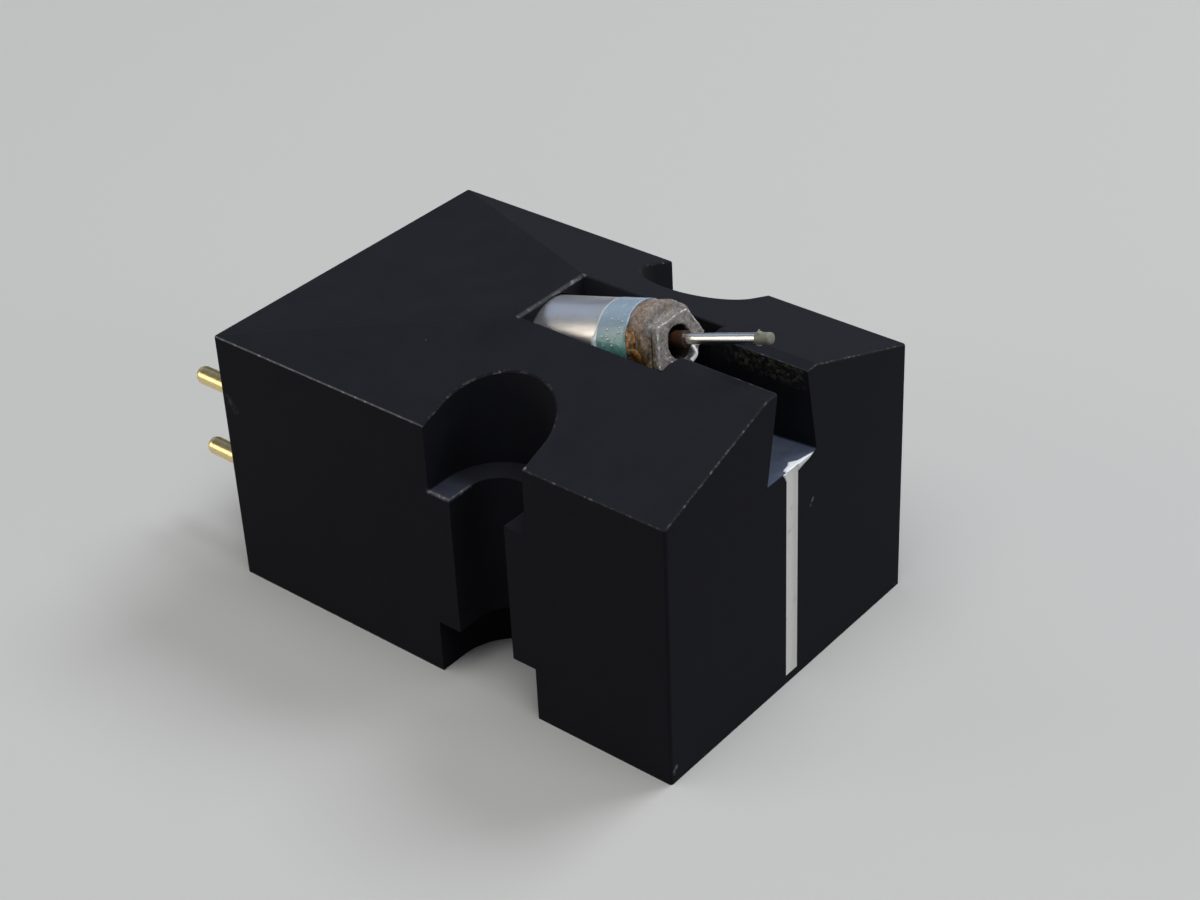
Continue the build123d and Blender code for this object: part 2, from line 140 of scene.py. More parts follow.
class Finish:
    """A material under construction: one Principled shader and the nodes that feed it."""

    def __init__(self, name, uniform):
        self.material = bpy.data.materials.new(name)
        self.material.use_nodes = True
        self.tree = self.material.node_tree
        self.shader = next(n for n in self.tree.nodes if n.type == "BSDF_PRINCIPLED")
        for socket, value in uniform.items():
            self.shader.inputs[socket].default_value = value
        metres = self.node("ShaderNodeTexCoord", out="Object")
        self.place = self.vector("SCALE", metres, scale=PER_METRE)

    def node(self, kind, settings=None, inputs=None, out=0):
        """Adds a node, sets it up, feeds its sockets and gives one output."""
        made = self.tree.nodes.new(kind)
        for key, value in (settings or {}).items():
            setattr(made, key, value)
        for key, value in (inputs or {}).items():
            if isinstance(value, Value):
                self.tree.links.new(value.socket, made.inputs[key])
            else:
                made.inputs[key].default_value = value
        return Value(self, made.outputs[out])

    def math(self, operation, *values):
        return self.node("ShaderNodeMath", {"operation": operation}, dict(enumerate(values)))

    def largest(self, first, second):
        return self.math("MAXIMUM", first, second)

    def vector(self, operation, *values, scale=None, out="Vector"):
        inputs = dict(enumerate(values))
        if scale is not None:
            inputs["Scale"] = scale
        return self.node("ShaderNodeVectorMath", {"operation": operation}, inputs, out)

    def dot(self, first, second):
        return self.vector("DOT_PRODUCT", first, second, out="Value")

    def length(self, *parts):
        joined = self.node("ShaderNodeCombineXYZ", inputs=dict(enumerate(parts)))
        return self.vector("LENGTH", joined, out="Value")

    def split(self, point):
        """The three coordinates of a point."""
        apart = self.node("ShaderNodeSeparateXYZ", inputs={0: point})
        return [Value(self, socket) for socket in apart.socket.node.outputs]

    def ramp(self, value, low, high):
        """0 at low, 1 at high, smooth between."""
        ends = {"Value": value, "From Min": low, "From Max": high}
        return self.node("ShaderNodeMapRange", {"interpolation_type": "SMOOTHSTEP"}, ends)

    def noise(self, scale, detail=3.0, roughness=0.5, stretch=(1, 1, 1), place=None):
        """Soft noise between 0 and 1, with so many lumps to a millimetre."""
        point = self.vector("MULTIPLY", place or self.place, stretch)
        inputs = {"Vector": point, "Scale": scale, "Detail": detail, "Roughness": roughness}
        return self.node("ShaderNodeTexNoise", inputs=inputs)

    def specks(self, scale, radius, share):
        """Round specks of a radius in millimetres, in a share of the cells."""
        cell = {"Vector": self.place, "Scale": scale}
        distance = self.node("ShaderNodeTexVoronoi", inputs=cell, out="Distance")
        chance = self.split(self.node("ShaderNodeTexVoronoi", inputs=cell, out="Color"))
        size = radius * scale * (0.4 + chance[1])
        speck = self.ramp(distance - size, 0, -0.4 * radius * scale)
        return speck * self.math("LESS_THAN", chance[0], share)

    def blend(self, factor, first, second):
        """From one colour to another."""
        sockets = {0: factor, 6: self.colour(first), 7: self.colour(second)}
        return self.node("ShaderNodeMix", {"data_type": "RGBA"}, sockets, out=2)

    @staticmethod
    def colour(value):
        return value if isinstance(value, Value) else (*value, 1.0)

    def to_line(self, point, start, end):
        """Distance from a point to the line between two places."""
        along = Vector(end) - Vector(start)
        offset = self.vector("SUBTRACT", point, start)
        reach = self.dot(offset, along) * (1 / along.length_squared)
        share = self.node("ShaderNodeClamp", inputs={"Value": reach})
        nearest = self.vector("SCALE", tuple(along), scale=share)
        return self.vector("LENGTH", self.vector("SUBTRACT", offset, nearest), out="Value")

    def in_motor(self):
        """The place in the motor's own frame, as a point."""
        offset = self.vector("SUBTRACT", self.place, motor_origin)
        axes = (X_AXIS, motor_up, motor_forward)
        parts = {i: self.dot(offset, axis) for i, axis in enumerate(axes)}
        return self.node("ShaderNodeCombineXYZ", inputs=parts)

    def bump(self, height):
        """A Normal from a height in millimetres."""
        return self.node("ShaderNodeBump", inputs={"Height": height, "Distance": MM, "Strength": 1.0})

    def feed(self, **values):
        """Links values to the shader's sockets, named with _ for a space."""
        for name, value in values.items():
            socket = self.shader.inputs[name.replace("_", " ").title()]
            self.tree.links.new(value.socket, socket)
        return self.material


# Finishes

def edges_worn_and_glinting(finish, point):
    """How near a place is to an edge of the housing, 0 to 1: pale lines that are partly worn plastic, partly
    painted glints of light on the rounded edges. Both sides are alike.
    """
    eave_front = (HALF_WIDTH, FRONT, EAVE_HEIGHT)
    eave_rear = (HALF_WIDTH, REAR, EAVE_HEIGHT)
    gable = (RIDGE_HALF_WIDTH, FRONT, RIDGE_HEIGHT)
    jaw = (THROAT_HALF_WIDTH, FRONT, RIDGE_HEIGHT)
    groove_rear = (GROOVE_HALF_WIDTH, GROOVE_REAR, GROOVE_HEIGHT)
    groove_front = (GROOVE_HALF_WIDTH, SHOULDER_REAR, GROOVE_HEIGHT)
    throat_rear = (THROAT_HALF_WIDTH, SHOULDER_FRONT, RIDGE_HEIGHT)
    foot_front = (FOOT_HALF_WIDTH, FRONT, 0)
    foot_rear = (FOOT_HALF_WIDTH, REAR, 0)
    ledge_inner = (SCREW_X, SLOT_HALF_WIDTH, POCKET_LEDGE)
    ledge_corner = (HALF_WIDTH, SLOT_HALF_WIDTH, POCKET_LEDGE)
    ledge_outer = (HALF_WIDTH, POCKET_RADIUS, POCKET_LEDGE)
    groove_width = 0.04
    corner_width = 0.05
    eave_width = 0.06
    gable_top_width = 0.07
    gable_width = 0.08
    ledge_width = 0.12
    # Painted highlight: the wide band on the groove's rear rim stands in for light on a wider bevel than the solid
    # has.
    groove_end_highlight_width = 0.16
    lines = [
        (eave_front, eave_rear, eave_width),
        (eave_front, gable, gable_width),
        (gable, jaw, gable_top_width),
        (foot_front, eave_front, corner_width),
        (foot_rear, eave_rear, corner_width),
        ((0, REAR, EAVE_HEIGHT), eave_rear, corner_width),
        ((0, GROOVE_REAR, GROOVE_HEIGHT), groove_rear, groove_end_highlight_width),
        (groove_rear, groove_front, groove_width),
        (groove_front, throat_rear, groove_width),
        (throat_rear, jaw, groove_width),
        (foot_front, foot_rear, corner_width),
        ((0, FRONT, 0), foot_front, corner_width),
        (ledge_inner, ledge_corner, ledge_width),
        (ledge_corner, ledge_outer, ledge_width),
    ]
    wear_and_glint = 0.0
    for start, end, width in lines:
        near = finish.ramp(finish.to_line(point, start, end), width, 0.4 * width)
        wear_and_glint = finish.largest(wear_and_glint, near)
    return wear_and_glint


def pocket_rim(finish, x, y, z):
    """How near a place is to the rim of a screw pocket, 0 to 1; it carries pale marks that are partly worn
    plastic, partly a painted glint.
    """
    width = 0.09
    full_rim_width = 0.03
    inward = finish.largest(SCREW_X - x, 0.0)
    outline = finish.length(inward, y) - POCKET_RADIUS
    roof = EAVE_HEIGHT + ROOF_SLOPE * (HALF_WIDTH - x)
    return finish.ramp(finish.length(outline, z - roof), width, full_rim_width)


def dust_and_painted_light(finish, x, y, z):
    """Pale bluish colour on the front of the throat's floor and on the outer, rear part of the screw pockets'
    ledges, 0 to 1: partly dust, partly painted light for the lit patches of these floors.
    """
    clear = 0.1
    covered = 0.04
    ledge_share = 0.2
    throat = finish.ramp(abs(z - CHANNEL_FLOOR), clear, covered)
    throat = throat * finish.ramp(y, SHOULDER_FRONT, SHOULDER_FRONT - 1)
    throat = throat * finish.ramp(x, MOUTH_HALF_WIDTH + 0.08, MOUTH_HALF_WIDTH)
    throat = throat * finish.ramp(y, FRONT, FRONT + 0.05)
    ledge = finish.ramp(abs(z - POCKET_LEDGE), clear, covered)
    ledge = ledge * finish.ramp(abs(y), POCKET_RADIUS + 0.1, POCKET_RADIUS)
    ledge = ledge * finish.ramp(x, SCREW_X - 0.5, SCREW_X + 0.4)
    ledge = ledge * finish.ramp(y, 0, SLOT_HALF_WIDTH)
    patchy = 0.4 + finish.noise(2.2, 5, 0.65)
    return patchy * finish.largest(throat, ledge_share * ledge)


def old_marks(finish):
    """A soft scuff and a bright spot on the left side, a nick and a chip on the front, 0 to 1."""
    scuff_top = (-7.54, 13.2, 8.7)
    scuff_foot = (-7.55, 12.85, 8.2)
    scuff_width = 0.26
    scuff_share = 0.14
    mark_share = 0.4
    scuff = finish.ramp(finish.to_line(finish.place, scuff_top, scuff_foot), scuff_width, 0.0)
    soft = scuff_share * scuff * finish.ramp(finish.noise(4, 4, 0.6), 0.3, 0.65)
    spot = ((-7.4, -2.3, 11.47), (-7.4, -2.5, 11.47), 0.1)
    nick = ((1.2, FRONT, 7.55), (1.35, FRONT, 7.8), 0.09)
    chip = ((-7.45, FRONT, 0.5), (-7.3, FRONT, 0.7), 0.16)
    marks = 0.0
    for start, end, width in (spot, nick, chip):
        near = finish.ramp(finish.to_line(finish.place, start, end), width, 0.3 * width)
        marks = finish.largest(marks, near)
    crumbled = finish.ramp(finish.noise(5, 5, 0.7), 0.42, 0.6)
    return finish.largest(soft, mark_share * marks * crumbled)


def throat_scrape_and_lit_band(finish, x, y, z):
    """Rough greenish marks and painted light along the top of the throat's right wall, 0 to 1: the lighter band
    stands partly for the wall's lit upper strip.
    """
    wall = finish.ramp(x, THROAT_HALF_WIDTH - 0.1, THROAT_HALF_WIDTH - 0.02)
    wall = wall * finish.ramp(x, 1.3, 1.15)
    along = finish.ramp(y, FRONT + 0.05, FRONT + 0.6)
    along = along * finish.ramp(y, SHOULDER_FRONT - 0.3, SHOULDER_FRONT - 1.6)
    height = finish.ramp(z, RIDGE_HEIGHT - 1.1, RIDGE_HEIGHT - 0.7)
    height = height * finish.ramp(z, RIDGE_HEIGHT, RIDGE_HEIGHT - 0.1)
    crumbs = finish.ramp(finish.noise(5, 5, 0.7), 0.46, 0.64)
    return wall * along * height * crumbs


def housing_plastic():
    """Matte black moulding: fine grain, pale broken lines along the edges that are partly worn plastic and partly
    painted glints, specks of dust, and painted light on the throat's floor, the pocket ledges and the top of the
    throat's right wall.
    """
    deep_black = (0.0105, 0.0106, 0.0132)
    grey_black = (0.0165, 0.0167, 0.0215)
    dust_and_lit_blue = (0.085, 0.104, 0.15)
    chalk_and_glint = (0.35, 0.345, 0.34)
    speck_grey = (0.13, 0.13, 0.14)
    scrape_green_and_lit = (0.12, 0.118, 0.09)
    finish = Finish("housing_plastic", {"Specular IOR Level": 0.04})
    x, y, z = finish.split(finish.place)
    side = abs(x)
    mirrored = finish.node("ShaderNodeCombineXYZ", inputs={0: side, 1: y, 2: z})
    rim = pocket_rim(finish, side, y, z)
    edge = edges_worn_and_glinting(finish, mirrored)
    flakes = finish.ramp(finish.noise(3.5, 5, 0.7), 0.5, 0.64)
    stretches = finish.ramp(finish.noise(0.6, 2), 0.4, 0.6)
    rearward = finish.ramp(y, 0, 4)
    steady = 0.08 + 0.24 * rearward
    broken = flakes * (0.3 + 0.7 * stretches)
    # The pale edge and rim lines are partly worn plastic, partly painted glints of light on the rounded edges,
    # fainter towards the front.
    wear_and_glint = finish.largest(edge * (steady + (1 - steady) * broken), 0.6 * rim * broken)
    wear_and_glint = finish.largest(wear_and_glint * (0.55 + 0.45 * rearward), old_marks(finish))
    mottle = finish.noise(0.55, 4, 0.6)
    grain = finish.noise(16, 2, 0.6)
    dust = finish.specks(scale=0.7, radius=0.035, share=0.3)
    scrape_and_lit = throat_scrape_and_lit_band(finish, x, y, z)
    black = finish.blend(mottle, deep_black, grey_black)
    # Painted light: the pale blue on the throat's floor and the pocket ledges is partly dust, partly the lit
    # patches of these floors.
    colour = finish.blend(dust_and_painted_light(finish, side, y, z), black, dust_and_lit_blue)
    colour = finish.blend(wear_and_glint, colour, chalk_and_glint)
    colour = finish.blend(dust * 0.7, colour, speck_grey)
    # Painted light: the greenish band at the top of the throat's right wall is partly rough marks, partly the
    # wall's lit upper strip.
    colour = finish.blend(scrape_and_lit, colour, scrape_green_and_lit)
    rough = 0.56 + 0.12 * mottle + 0.1 * wear_and_glint
    relief = 0.004 * grain + 0.012 * mottle - 0.02 * wear_and_glint + 0.05 * scrape_and_lit
    return finish.feed(base_color=colour, roughness=rough, normal=finish.bump(relief))


def inner_plastic(name, tint):
    """Plain black moulding for the cover and the terminal block."""
    speck_grey = (0.15, 0.15, 0.15)
    finish = Finish(name, {"Specular IOR Level": 0.1})
    mottle = finish.noise(0.8, 4)
    grain = finish.noise(14, 2)
    dust = finish.specks(scale=0.8, radius=0.03, share=0.25)
    lighter = tuple(1.6 * c for c in tint)
    colour = finish.blend(mottle, tint, lighter)
    colour = finish.blend(dust * 0.6, colour, speck_grey)
    rough = 0.48 + 0.16 * mottle
    return finish.feed(base_color=colour, roughness=rough, normal=finish.bump(0.005 * grain))


def index_white():
    """Cream paint in the index line, brushed on by hand, with painted shade on its right half, where the groove's
    wall is turned from the light.
    """
    cream = (0.96, 0.94, 0.89)
    shaded_cream = (0.85, 0.82, 0.77)
    stain_brown = (0.5, 0.47, 0.42)
    finish = Finish("index_white", {"Specular IOR Level": 0.4})
    x = finish.split(finish.place)[0]
    streak = finish.noise(7, 3, stretch=(1, 1, 0.12))
    # Painted shade: the right half of the groove is darker, turned from the light.
    right = finish.ramp(x + 0.25 * streak, 0.0, 0.35)
    colour = finish.blend(right, cream, shaded_cream)
    stain = finish.ramp(finish.noise(2.0, 5), 0.6, 0.75)
    colour = finish.blend(stain * 0.5, colour, stain_brown)
    rough = 0.5 + 0.2 * streak
    return finish.feed(base_color=colour, roughness=rough, normal=finish.bump(0.02 * streak))


def metal(name, colour, roughness, streaks, stain=None):
    """Plated or turned metal with streaks along the motor's axis."""
    finish = Finish(name, {"Metallic": 1.0})
    place = finish.in_motor()
    streak = finish.noise(9, 4, stretch=(1, 1, 0.08), place=place)
    cloud = finish.noise(0.9, 4)
    darker = tuple(0.78 * c for c in colour)
    shade = finish.blend(cloud, colour, darker)
    if stain is not None:
        spot = finish.ramp(finish.noise(1.8, 5, 0.65), 0.58, 0.72)
        shade = finish.blend(spot * 0.6, shade, stain)
    rough = roughness + streaks * streak + 0.08 * cloud
    return finish.feed(base_color=shade, roughness=rough, normal=finish.bump(0.004 * streak))


def ring_iron():
    """Filed grey iron: painted highlights broken along the front edges, painted shade in the mouth of the hole,
    brown and amber with old glue at the back.
    """
    iron_light = (0.31, 0.28, 0.26)
    iron_dark = (0.15, 0.133, 0.12)
    scratch_grey = (0.58, 0.57, 0.55)
    layer_olive = (0.26, 0.24, 0.19)
    brown_light = (0.31, 0.24, 0.19)
    brown_dark = (0.15, 0.11, 0.085)
    amber_light = (0.2, 0.115, 0.034)
    amber_dark = (0.055, 0.034, 0.013)
    amber_pale = (0.3, 0.25, 0.14)
    seam_black = (0.03, 0.03, 0.025)
    painted_hole_shade = (0.02, 0.014, 0.01)
    painted_edge_highlight = (0.72, 0.7, 0.68)
    seam_station = -0.48
    finish = Finish("ring_iron", {"Specular IOR Level": 0.4})
    place = finish.in_motor()
    x, y, z = finish.split(place)
    pits = finish.noise(6, 5, 0.65)
    patches = finish.noise(1.7, 4, 0.6)
    layers = finish.noise(6, 3, stretch=(0.3, 0.3, 2.0), place=place)
    scratches = finish.ramp(finish.noise(11, 4, 0.7, stretch=(1, 0.25, 0.5), place=place), 0.54, 0.66)
    pitted = finish.ramp(pits, 0.35, 0.65)
    # Painted highlights along the nut's front edges, broken up by the pits.
    edge = 0.0
    for start, end in NUT_SIDES:
        line = finish.to_line(place, (*start, RING_FRONT), (*end, RING_FRONT))
        edge = finish.largest(edge, finish.ramp(line, 0.075, 0.03))
    edge_highlight = edge * finish.ramp(pits, 0.46, 0.6)
    collar = finish.ramp(z + 0.3 * patches, COLLAR_FRONT + 0.2, COLLAR_FRONT + 0.05)
    left = finish.ramp(-1 * x + 0.9 * patches, 0.85, 1.4)
    left = left * finish.ramp(y + 0.6 * (z - RING_BACK) + 0.6 * patches, 1.6, 1.25)
    left = left * finish.ramp(z + 0.2 * patches, RING_FRONT, RING_FRONT - 0.1)
    seam = finish.ramp(abs(z - seam_station), 0.045, 0.015) * finish.ramp(-1 * x, 0.9, 1.1)
    # Painted shade on the wall of the hole, just behind its mouth.
    from_hole = finish.length(x, y - RING_HOLE_HEIGHT)
    hole_shade = finish.ramp(from_hole, RING_HOLE_RADIUS + 0.07, RING_HOLE_RADIUS + 0.01)
    hole_shade = hole_shade * finish.ramp(z, RING_FRONT - 0.01, RING_FRONT - 0.12)
    colour = finish.blend(pitted, iron_light, iron_dark)
    colour = finish.blend(scratches * 0.6, colour, scratch_grey)
    colour = finish.blend(finish.ramp(layers, 0.5, 0.7) * 0.5, colour, layer_olive)
    brown = finish.blend(pitted, brown_light, brown_dark)
    colour = finish.blend(collar, colour, brown)
    amber = finish.blend(pitted, amber_light, amber_dark)
    amber = finish.blend(finish.ramp(layers, 0.52, 0.66) * 0.5, amber, amber_pale)
    colour = finish.blend(left * (0.6 + 0.4 * collar), colour, amber)
    colour = finish.blend(seam, colour, seam_black)
    colour = finish.blend(hole_shade, colour, painted_hole_shade)
    colour = finish.blend(edge_highlight, colour, painted_edge_highlight)
    rough = 0.45 + 0.35 * pits - 0.2 * left
    relief = 0.03 * layers + 0.06 * pits + 0.02 * scratches - 0.03 * seam
    return finish.feed(base_color=colour, roughness=rough, normal=finish.bump(relief))


def seal_film():
    """A teal lacquer film, half clear, with paler rims where it is thick, and a painted reflection of the bluish
    sky on its upper side, which is lighter and bluer.
    """
    reflected_sky_blue = (0.28, 0.37, 0.46)
    teal = (0.13, 0.35, 0.31)
    crinkle_pale = (0.55, 0.68, 0.66)
    rim_pale = (0.75, 0.8, 0.82)
    uniform = {"Specular IOR Level": 0.5, "Coat Weight": 0.4, "Coat Roughness": 0.12}
    finish = Finish("seal_film", uniform)
    y, z = finish.split(finish.in_motor())[1:]
    cloud = finish.noise(1.6, 4)
    crinkle = finish.noise(5, 4, 0.6)
    rear_rim = finish.ramp(z, BAND_REAR + 0.07, BAND_REAR + 0.01) * finish.ramp(crinkle, 0.2, 0.42)
    # Painted reflection: the upper side is lighter and bluer, as if it mirrored the bluish sky; teal below.
    lower = finish.ramp(y + 0.5 * cloud, 1.6, 0.5)
    colour = finish.blend(lower, reflected_sky_blue, teal)
    colour = finish.blend(finish.ramp(crinkle, 0.55, 0.75) * 0.5, colour, crinkle_pale)
    colour = finish.blend(rear_rim, colour, rim_pale)
    alpha = 0.72 + 0.2 * rear_rim + 0.15 * cloud
    rough = 0.24 + 0.2 * crinkle
    normal = finish.bump(0.03 * crinkle)
    return finish.feed(base_color=colour, roughness=rough, alpha=alpha, normal=normal)


def old_glue():
    """Amber glue gone brown, glossy in places."""
    amber = (0.32, 0.14, 0.03)
    dark_amber = (0.06, 0.028, 0.01)
    dried = (0.5, 0.42, 0.26)
    finish = Finish("old_glue", {"Specular IOR Level": 0.5})
    lumps = finish.noise(5, 4, 0.6)
    colour = finish.blend(finish.ramp(lumps, 0.4, 0.6), amber, dark_amber)
    pale = finish.ramp(finish.noise(9, 3), 0.62, 0.74)
    colour = finish.blend(pale * 0.7, colour, dried)
    rough = 0.22 + 0.35 * lumps
    return finish.feed(base_color=colour, roughness=rough, normal=finish.bump(0.02 * lumps))


def bush_brown():
    """Dark reddish-brown varnish on the collar."""
    red_brown = (0.07, 0.03, 0.014)
    dark_brown = (0.018, 0.009, 0.006)
    finish = Finish("bush_brown", {"Specular IOR Level": 0.5})
    cloud = finish.noise(4, 4, 0.6)
    colour = finish.blend(cloud, red_brown, dark_brown)
    rough = 0.18 + 0.25 * cloud
    return finish.feed(base_color=colour, roughness=rough, normal=finish.bump(0.03 * cloud))


def diamond():
    """A small ground diamond, grey with its glue."""
    light_grey = (0.42, 0.42, 0.38)
    dark_grey = (0.14, 0.14, 0.12)
    finish = Finish("diamond", {"IOR": 2.0, "Specular IOR Level": 0.6})
    cloud = finish.noise(9, 4, 0.6)
    colour = finish.blend(cloud, light_grey, dark_grey)
    rough = 0.15 + 0.4 * cloud
    return finish.feed(base_color=colour, roughness=rough, normal=finish.bump(0.01 * cloud))


def plain(name, colour, other, roughness, relief):
    """A plain non-metal that clouds towards another colour."""
    finish = Finish(name, {"Specular IOR Level": 0.4})
    cloud = finish.noise(3, 4, 0.6)
    shade = finish.blend(cloud, colour, other)
    rough = roughness + 0.2 * cloud
    return finish.feed(base_color=shade, roughness=rough, normal=finish.bump(relief * cloud))


def coil_copper():
    """Fine enamelled copper turns."""
    copper = (0.55, 0.24, 0.1)
    dark_copper = (0.3, 0.11, 0.04)
    finish = Finish("coil_copper", {"Metallic": 0.8})
    turns = finish.noise(26, 2, stretch=(1, 0.2, 0.2), place=finish.in_motor())
    colour = finish.blend(turns, copper, dark_copper)
    rough = 0.3 + 0.2 * turns
    return finish.feed(base_color=colour, roughness=rough, normal=finish.bump(0.01 * turns))


finishes = {
    "housing_plastic": housing_plastic(),
    "insulator": inner_plastic("insulator", (0.014, 0.014, 0.016)),
    "index_white": index_white(),
    "pin_gold": metal("pin_gold", (0.95, 0.76, 0.38), roughness=0.2, streaks=0.08),
    "nose_metal": metal(
        "nose_metal", (0.86, 0.84, 0.85), roughness=0.3, streaks=0.16, stain=(0.66, 0.58, 0.5)
    ),
    "seal_film": seal_film(),
    "ring_iron": ring_iron(),
    "yoke_iron": metal(
        "yoke_iron", (0.5, 0.5, 0.52), roughness=0.3, streaks=0.2, stain=(0.3, 0.24, 0.18)
    ),
    "magnet_grey": plain(
        "magnet_grey", (0.16, 0.16, 0.17), (0.09, 0.09, 0.1), roughness=0.4, relief=0.02
    ),
    "fine_steel": metal("fine_steel", (0.62, 0.62, 0.64), roughness=0.2, streaks=0.15),
    "damper_rubber": plain(
        "damper_rubber", (0.03, 0.03, 0.03), (0.05, 0.05, 0.05), roughness=0.6, relief=0.01
    ),
    "coil_copper": coil_copper(),
    "bush_brown": bush_brown(),
    "cantilever_aluminium": metal(
        "cantilever_aluminium", (0.95, 0.94, 0.9), roughness=0.14, streaks=0.08
    ),
    "diamond": diamond(),
    "lead_enamel": plain(
        "lead_enamel", (0.42, 0.16, 0.06), (0.3, 0.1, 0.03), roughness=0.25, relief=0.005
    ),
}
glue = old_glue()
cover_plastic = inner_plastic("cover_plastic", (0.012, 0.012, 0.014))

for subpart in frame["record"]["subparts"]:
    mesh = frame["nodes"][subpart["node"]].data
    mesh.materials.clear()
    mesh.materials.append(finishes[subpart["material_slot"]])
frame["nodes"]["mounting_plate"].data.materials[0] = cover_plastic


# Pieces

noise.seed_set(1)    # without a seed of its own, noise_vector differs from run to run


def add_piece(name, shape, place, body, finish):
    """Makes a piece of a bmesh in millimetres of its own frame."""
    bmesh.ops.transform(shape, matrix=place, verts=shape.verts)
    bmesh.ops.recalc_face_normals(shape, faces=shape.faces)
    mesh = bpy.data.meshes.new(name)
    shape.to_mesh(mesh)
    shape.free()
    mesh.shade_smooth()
    mesh.materials.append(finish)
    piece = bpy.data.objects.new(name, mesh)
    bpy.context.scene.collection.objects.link(piece)
    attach(piece, body)
    return piece


def roughen(shape, size, depth, seed):
    """Pushes the points of a shape about by smooth noise, with lumps of a size in millimetres."""
    offset = Vector((seed, 2 * seed, 3 * seed))
    for vert in shape.verts:
        vert.co += depth * noise.noise_vector(vert.co / size + offset)


def edges_of(verts):
    """Each edge once, always in the same order."""
    return list(dict.fromkeys(edge for vert in verts for edge in vert.link_edges))


def wrap(shape, sections, count):
    """Skins a row of closed sections, each a station and a function from an angle to a point."""
    rows = []
    for row in range(len(sections)):
        lift = Matrix.Translation((0, 0, row))
        verts = bmesh.ops.create_circle(shape, segments=count, radius=1, matrix=lift)["verts"]
        rows.append(edges_of(verts))
    for first, second in zip(rows, rows[1:]):
        bmesh.ops.bridge_loops(shape, edges=first + second)
    for vert in shape.verts:
        station, outline = sections[round(vert.co.z)]
        vert.co = (*outline(atan2(vert.co.y, vert.co.x)), station)


def steps(start, end, count):
    """Evenly spaced values from start to end, both included."""
    return [start + (end - start) * i / count for i in range(count + 1)]


def hole_outline(angle):
    """The ring's hole, which lies below the axis."""
    return RING_HOLE_RADIUS * cos(angle), RING_HOLE_RADIUS * sin(angle) + RING_HOLE_HEIGHT


def round_outline(radius):
    """A circle about the axis."""
    return lambda angle: (radius * cos(angle), radius * sin(angle))


def nut_outline(angle):
    """The six-sided outline, along a ray from the axis."""
    ray = Vector((cos(angle), sin(angle)))
    reach = []
    for start, end in NUT_SIDES:
        side = Vector(end) - Vector(start)
        normal = Vector((-side.y, side.x)).normalized()
        facing = normal.dot(ray)
        if facing * normal.dot(start) > 0:
            reach.append(normal.dot(start) / facing)
    return min(reach) * ray


def between(first, second, share):
    """An outline part of the way from one to another."""
    return lambda angle: Vector(first(angle)).lerp(Vector(second(angle)), share)


def straight(outline, start, end, count):
    """Sections along the axis, all with one outline."""
    return [(station, outline) for station in steps(start, end, count)]


def flat(station, first, second, count):
    """Sections across a flat face, from one outline to another."""
    return [(station, between(first, second, share)) for share in steps(0, 1, count)]


def waves(vert, per_mm, seed):
    """Smooth noise across the axis, alike along it."""
    return noise.noise(Vector((per_mm * vert.co.x, per_mm * vert.co.y, seed)))


def filed_ring():
    """The ring: a round collar with a six-sided front, filed by hand, its corners rough and broken."""
    around = 144
    hole_steps = 14
    front_steps = 8
    nut_steps = 8
    collar_steps = 12
    edge_steps = 3
    outer_radius = 1.2
    swell = 0.14
    collar_outline = round_outline(COLLAR_RADIUS)
    sections = straight(hole_outline, RING_BACK, RING_FRONT, hole_steps)
    sections += flat(RING_FRONT, hole_outline, nut_outline, front_steps)[1:]
    sections += straight(nut_outline, RING_FRONT, COLLAR_FRONT, nut_steps)[1:]
    sections += flat(COLLAR_FRONT, nut_outline, collar_outline, edge_steps)[1:]
    sections += straight(collar_outline, COLLAR_FRONT, RING_BACK, collar_steps)[1:]
    sections += flat(RING_BACK, collar_outline, hole_outline, edge_steps)[1:]
    shape = bmesh.new()
    wrap(shape, sections, around)
    bmesh.ops.remove_doubles(shape, verts=shape.verts, dist=JOIN_DISTANCE)
    for vert in shape.verts:
        if vert.co.xy.length > outer_radius and vert.co.z < RING_FRONT - 0.05:
            vert.co.z += swell * waves(vert, per_mm=1.7, seed=0.5)
    roughen(shape, size=0.4, depth=0.035, seed=3.1)
    roughen(shape, size=0.11, depth=0.02, seed=5.7)
    piece = add_piece("nose_ring", shape, motor_frame, "housing", finishes["ring_iron"])
    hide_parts("pole_ring")


def tube_radius(station):
    """The outside of the tube, which widens to the rear."""
    return TUBE_FRONT_RADIUS + TUBE_TAPER * (RING_BACK - station)


def film_band():
    """The film round the front of the tube, with wavering rims and a loose end on the left."""
    around = 144
    rows = 12
    flap_angle = 2.8
    flap_width = 0.22
    flap_length = 0.2
    flap_lift = 0.05
    flap_crease = 0.02
    crease_size = 0.12
    rear_waver = 0.14
    front_waver = 0.2
    sections = []
    for station in steps(RING_BACK, BAND_REAR, rows):
        sections.append((station, round_outline(tube_radius(station) + 0.3 * BAND_WALL)))
    shape = bmesh.new()
    wrap(shape, sections, around)
    for vert in shape.verts:
        angle = atan2(vert.co.y, vert.co.x) % (2 * pi)
        share = (RING_BACK - vert.co.z) / BAND_LENGTH
        rear = rear_waver * waves(vert, per_mm=1.1, seed=4.0)
        front = front_waver * waves(vert, per_mm=1.5, seed=9.0)
        flap = exp(-((angle - flap_angle) / flap_width) ** 2) * share ** 4
        vert.co.z += rear * share ** 2 + front * (1 - share) ** 2 - flap_length * flap
        vert.co.xy *= 1 + flap_lift * flap + flap_crease * flap * noise.noise(vert.co / crease_size)
    bmesh.ops.solidify(shape, geom=shape.faces[:], thickness=0.5 * BAND_WALL)
    piece = add_piece("seal_film", shape, motor_frame, "housing", finishes["seal_film"])
    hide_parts("seal_band")


def new_verts(shape, points):
    """Adds points to a shape."""
    return [shape.verts.new(point) for point in points]


